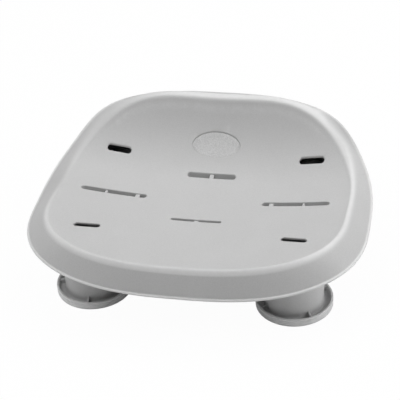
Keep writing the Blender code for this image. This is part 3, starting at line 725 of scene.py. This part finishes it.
def seat_shell():
    runs, entries = lug_grooves()
    slots = joined("slots", [slot_tool(*span) for span in slot_spans()])
    return cut_away(seat_skin(), [
        (socket_posts(), 'UNION'), (rib_body(), 'UNION'), (socket_bores(), 'DIFFERENCE'),
        (runs, 'DIFFERENCE'), (entries, 'DIFFERENCE'), (slots, 'DIFFERENCE'),
        (oval_pocket(), 'DIFFERENCE')])


def paint_rim_highlight(mesh):
    """Marks the rim's ridge and the bead for a painted highlight: paler, and smoother as from use.
    """
    marks = mesh.attributes.new("rim", 'FLOAT', 'POINT')
    for v in mesh.vertices:
        x, y, z = v.co.x / MM, v.co.y / MM, v.co.z / MM
        share = max(1e-6, plan_share(CROWN, x, y))
        away = math.hypot(x, y - CROWN_Y) * (1 - 1 / share)      # mm outside the crown line
        band = BAND_REAR * rear_share(y)
        u = (away + 0.7 + 0.45 * band) / (2.8 + 0.75 * band)
        upper = z > surface(x, y) - 6.0 - 3.0 * band
        ridge = math.exp(-u ** 4 if u < 0 else -u * u) if upper and share > 0.8 else 0.0
        # painted highlight weaker along the left rear, where less light falls
        left = max(0.0, min(1.0, (-40.0 - x) / 100.0)) * max(0.0, min(1.0, (y + 60.0) / 80.0))
        bead = max(0.0, min(1.0, (plan_share(LIP, x, y) - 0.984) / 0.008))
        bead *= z > lip_height(y) - 1.5
        marks.data[v.index].value = max(ridge * (1 - 0.75 * left), 0.9 * bead)


def smooth_top(mesh):
    """Keeps the seat's own rule as the shading normal on its upper face, round every cut."""
    inner_share, tolerance = 0.86, 0.06
    normals = [Vector(corner.vector) for corner in mesh.corner_normals]
    for poly in mesh.polygons:
        if poly.normal.z < 0.6:
            continue
        inner = []
        for i in poly.loop_indices:
            point = mesh.vertices[mesh.loops[i].vertex_index].co / MM
            if plan_share(CROWN, point.x, point.y) <= inner_share:
                inner.append((i, point))
        if all(abs(p.z - surface(p.x, p.y)) <= tolerance for _, p in inner):
            for i, point in inner:
                normals[i] = surface_normal(point.x, point.y)
    mesh.normals_split_custom_set([tuple(normal) for normal in normals])


shell = piece("seat_shell_fine", seat_shell(), "root", "seat_shell", SEAT_MAT)
# painted highlight along the seat's ridge and lip bead
paint_rim_highlight(shell.data)
smooth_top(shell.data)


# ---- oval plate ---------------------------------------------------------------
def oval_plate():
    """Thin inlay with softened edges, just above the pocket's floor."""
    low = OVAL_DEPTH - GAP
    high = low - PLATE_T
    # drop, outset
    edge = [(low, -0.45), (low - 0.1, -0.35), (high + 0.15, -0.35), (high + 0.04, -0.39),
            (high, -0.5)]
    shares = (0.3, 0.6, 0.85)
    rings = [oval_ring(*edge[0], share) for share in shares]
    rings += [oval_ring(*level) for level in edge]
    rings += [oval_ring(*edge[-1], share) for share in reversed(shares)]
    return stacked("oval_plate_fine", rings, (0, OVAL_Y, below_surface(0, OVAL_Y, low)),
                   (0, OVAL_Y, below_surface(0, OVAL_Y, high)))


piece("oval_plate_fine", oval_plate(), "root", "oval_plate", PLATE_MAT, sharp=50)

# ---- legs ---------------------------------------------------------------------
TUBE_IN = TUBE_R - TUBE_WALL
# r, z, fillet radius: down the outside, round the foot's rim, up the inside past the web
LEG = rounded([
    (TUBE_R, LEG_TOP, 0.6), (TUBE_R, 5.0, 2.6), (41.9, 5.0, 0.9), (41.9, 10.7, 1.1),
    (DISH_R, 10.7, 1.4), (DISH_R, 8.6, 0.8), (44.0, 6.4, 1.5), (DISH_R, 3.6, 0.8),
    (44.6, 1.4, 0.5), (41.8, 1.4, 0.3), (41.8, 3.4, 0.5), (TUBE_IN, 3.4, 0.3),
    (TUBE_IN, WEB[0], 0.8), (3.4, WEB[0], 0.2), (3.4, WEB[1], 0.2), (TUBE_IN, WEB[1], 1.0),
    (TUBE_IN, LEG_TOP, 0.6)], parts=5)


def turned(degrees):
    return Matrix.Rotation(math.radians(degrees), 4, 'Z')


def gusset():
    """Thin web running from the tube down to the rim of the foot."""
    near, far, thick, bottom = TUBE_R - 1.2, 42.7, 1.6, 4.2
    near_top, far_top = 12.8, 9.2
    work = bmesh.new()
    bmesh.ops.create_cube(work, size=1.0)
    for v in work.verts:
        x, top = (far, far_top) if v.co.x > 0 else (near, near_top)
        v.co = Vector((x, v.co.y * thick, top if v.co.z > 0 else bottom)) * MM
    upper = [e for e in work.edges if all(v.co.z > 0.006 for v in e.verts)]
    bmesh.ops.bevel(work, geom=upper, offset=0.35 * MM, segments=3, profile=0.5, affect='EDGES')
    return mesh_of("gusset", work)


def leg_mesh():
    """Tube with its foot, four gussets, the lugs near its top and four drain holes."""
    steps = []
    for k in range(4):
        web = gusset()
        web.transform(turned(90.0 * k))
        steps.append((web, 'UNION'))
    for angle in LUG_ANGLES:
        lug = slab("lug", (LUG_ROOT, -LUG_W / 2, LUG_Z[0]),
                   (TUBE_R + LUG_OUT, LUG_W / 2, LUG_Z[1]), turned(angle), bevel=0.5)
        steps.append((lug, 'UNION'))
    for angle in map(math.radians, (45, 135, 225, 315)):
        drain = drum("drain", DRAIN_R, WEB[0] - 2, WEB[1] + 2, DRAIN_OUT * math.cos(angle),
                     DRAIN_OUT * math.sin(angle), steps=32)
        steps.append((drain, 'DIFFERENCE'))
    mesh = cut_away(lathe("leg", LEG), steps)
    foot_rim_highlight = mesh.attributes.new("rim", 'FLOAT', 'POINT')     # the foot's rim marked for a painted highlight, paler and smoother
    for v in mesh.vertices:
        foot_rim_highlight.data[v.index].value = max(0.0, min(1.0, (v.co.xy.length / MM - 41.0) / 1.2))
    return mesh


# ---- suction cup, stud, washer, nut -------------------------------------------
# r, z, fillet radius: over the top from the axis to the rim and back underneath
CUP = rounded([
    (0.0, 4.3, 0), (6.3, 4.3, 0.2), (6.3, 6.7, 0.2), (3.4, 6.7, 0.1), (3.4, 8.4, 0.2),
    (10.0, 8.4, 1.2), (16.0, 6.4, 3.0), (26.0, 4.0, 2.0), (30.2, 1.9, 1.0), (40.0, 1.5, 0.5),
    (CUP_R, 0.7, 0.3), (CUP_R, 0.0, 0.15), (CUP_R - 2.3, 0.0, 0.4), (30.0, 0.7, 6.0),
    (22.0, 2.5, 5.0), (12.0, 3.1, 3.0), (0.0, 3.2, 0)], closed=False, parts=5)
STUD_R, THREAD_ROOT, THREAD_TOP, THREAD_TURNS = 3.0, 2.62, 25.4, 18     # pitch 1 mm
THREAD = [point for k in range(THREAD_TURNS)
          for point in ((STUD_R, THREAD_TOP - k), (THREAD_ROOT, THREAD_TOP - k - 0.5))]
# r, z: chamfered tip, thread, plain shank and the disc at its foot
STUD = [(0.0, 26.0), (2.4, 26.0), (2.95, 25.6)] + THREAD + [
    (STUD_R, 7.4), (STUD_R, 6.6), (3.15, 6.4), (5.7, 6.4), (6.0, 6.1), (6.0, 4.9), (5.7, 4.6),
    (0.0, 4.6)]
WASHER = rounded([(3.4, 14.5, 0.1), (6.0, 14.5, 0.25), (6.0, 12.9, 0.1), (3.4, 12.9, 0.1)],
                 parts=3)
NUT_LOW, NUT_HIGH, NUT_HALF_FLATS, NUT_BORE = 14.8, 19.8, 5.0, 3.3
NUT_CHAMFER = [(0.0, NUT_LOW), (5.2, NUT_LOW), (5.85, 15.2), (5.85, 19.3), (5.1, NUT_HIGH),
               (0.0, NUT_HIGH)]
NUT_COLLAR = rounded([(0.0, 19.0, 0), (4.6, 19.0, 0), (4.6, 20.8, 0.6), (0.0, 20.8, 0)],
                     closed=False)


def nut_mesh():
    """Hexagon nut with chamfered corners and a locking ring at its top."""
    flats = drum("hex", NUT_HALF_FLATS / math.cos(math.pi / 6), NUT_LOW, NUT_HIGH, steps=6)
    return cut_away(flats, [
        (lathe("chamfer", NUT_CHAMFER, 64), 'INTERSECT'),
        (lathe("collar", NUT_COLLAR, 64), 'UNION'),
        (drum("bore", NUT_BORE, 12.0, 24.0, steps=48), 'DIFFERENCE')])


# part, mesh, body it rides on, slot, material, sharp angle in degrees
CORNER_PARTS = [
    ("leg", leg_mesh(), "leg_", "moulded_grey", LEG_MAT, 40),
    ("suction_cup", lathe("cup", CUP, 128), "cup_", "cup_grey", CUP_MAT, 40),
    ("cup_stud", lathe("stud", STUD, 48), "cup_", "stainless", STEEL_MAT, 30),
    ("cup_washer", lathe("washer", WASHER, 64), "cup_", "stainless", STEEL_MAT, 30),
    ("cup_nut", nut_mesh(), "cup_", "stainless", STEEL_MAT, 30),
]
for corner, (short, x, y, turn) in CORNERS.items():
    place = Matrix.Translation((x * MM, y * MM, 0)) @ turned(turn)
    for part, mesh, body, slot, material, sharp in CORNER_PARTS:
        piece(f"{part}_fine_{corner}", mesh.copy(), body + short, f"{part}_{corner}",
              material, place, sharp)


# ---- floor (metres from here on) ----------------------------------------------
def floor_material():
    """Almost even white when seen directly; lights the object as plain matt card."""
    material, tree, bsdf = new_material("pale_floor")
    set_inputs(tree, bsdf, {"Base Color": (0.86, 0.86, 0.86, 1.0), "Roughness": 1.0,
                            "Specular IOR Level": 0.0})
    path = add(tree, "ShaderNodeLightPath")
    white = add(tree, "ShaderNodeEmission", {"Color": (1.0, 1.0, 1.0, 1.0), "Strength": 1.0})
    card = bsdf.outputs[0]
    card_share = 0.03
    faint = add(tree, "ShaderNodeMixShader", {0: card_share, 1: white.outputs[0], 2: card})
    seen = add(tree, "ShaderNodeMixShader", {
        0: path.outputs["Is Camera Ray"], 1: card, 2: faint.outputs[0]})
    set_inputs(tree, tree.nodes["Material Output"], {"Surface": seen.outputs[0]})
    return material


FLOOR_HALF, FLOOR_DROP = 8, 0.0002
floor_mesh = bpy.data.meshes.new("floor")
floor_mesh.from_pydata([(x * FLOOR_HALF, y * FLOOR_HALF, 0)
                        for x, y in ((-1, -1), (1, -1), (1, 1), (-1, 1))], [], [(0, 1, 2, 3)])
floor_mesh.materials.append(floor_material())
floor_obj = bpy.data.objects.new("floor", floor_mesh)
scene.collection.objects.link(floor_obj)
floor_obj.location.z = -FLOOR_DROP

# ---- light --------------------------------------------------------------------
scene.view_settings.view_transform = 'Standard'
world = bpy.data.worlds.new("studio")
scene.world = world
world.use_nodes = True
set_inputs(world.node_tree, world.node_tree.nodes["Background"],
           {"Color": (1.0, 1.0, 1.0, 1.0), "Strength": 0.02})


def direction(azimuth, elevation):
    """Unit vector; azimuth 0 is the front and a quarter turn the right."""
    return Vector((math.sin(azimuth) * math.cos(elevation),
                   -math.cos(azimuth) * math.cos(elevation), math.sin(elevation)))


LAMP_TARGET, LAMP_DISTANCE, LAMP_SIZE = Vector((0, 0, 0.06)), 2.2, 1.6
# name: azimuth and elevation in degrees, power in watts
LIGHTS = {
    "back_right_high": (135.0, 60.0, 18.8),
    "back": (180.0, 30.0, 3.8),
    "back_left_high": (-135.0, 60.0, 12.0),
    "left_low": (-90.0, 8.0, 6.5),
    "front_left_high": (-45.0, 60.0, 19.5),
    "front_left_low": (-45.0, 8.0, 5.5),
    "right_low": (90.0, 8.0, 10.0),
    "right": (90.0, 30.0, 16.3),
    "top": (0.0, 89.0, 1.6),
}
for name, (azimuth, elevation, power) in LIGHTS.items():
    data = bpy.data.lights.new(name, 'AREA')
    data.shape, data.size, data.energy = 'DISK', LAMP_SIZE, power
    lamp = bpy.data.objects.new(name, data)
    back = direction(math.radians(azimuth), math.radians(elevation))
    lamp.location = LAMP_TARGET + back * LAMP_DISTANCE
    lamp.rotation_mode = 'QUATERNION'
    lamp.rotation_quaternion = back.to_track_quat('Z', 'Y')
    scene.collection.objects.link(lamp)

# ---- camera (angles in radians) -----------------------------------------------
CAM_AZIMUTH, CAM_ELEVATION, CAM_ROLL, CAM_DISTANCE = 0.2376, 0.5983, -0.0674, 1.6184
CAM_TARGET = Vector((0.00158, -0.01151, 0.09582))
back = direction(CAM_AZIMUTH, CAM_ELEVATION)
level = Vector((math.cos(CAM_AZIMUTH), math.sin(CAM_AZIMUTH), 0.0))
upright = back.cross(level)
right = level * math.cos(CAM_ROLL) + upright * math.sin(CAM_ROLL)
up = upright * math.cos(CAM_ROLL) - level * math.sin(CAM_ROLL)
cam_data = bpy.data.cameras.new("camera")
cam_data.sensor_width = 36.0
cam_data.lens = 125.1072
camera = bpy.data.objects.new("camera", cam_data)
axes = Matrix((right, up, back)).transposed().to_4x4()
camera.matrix_world = Matrix.Translation(CAM_TARGET + back * CAM_DISTANCE) @ axes
scene.collection.objects.link(camera)
scene.camera = camera
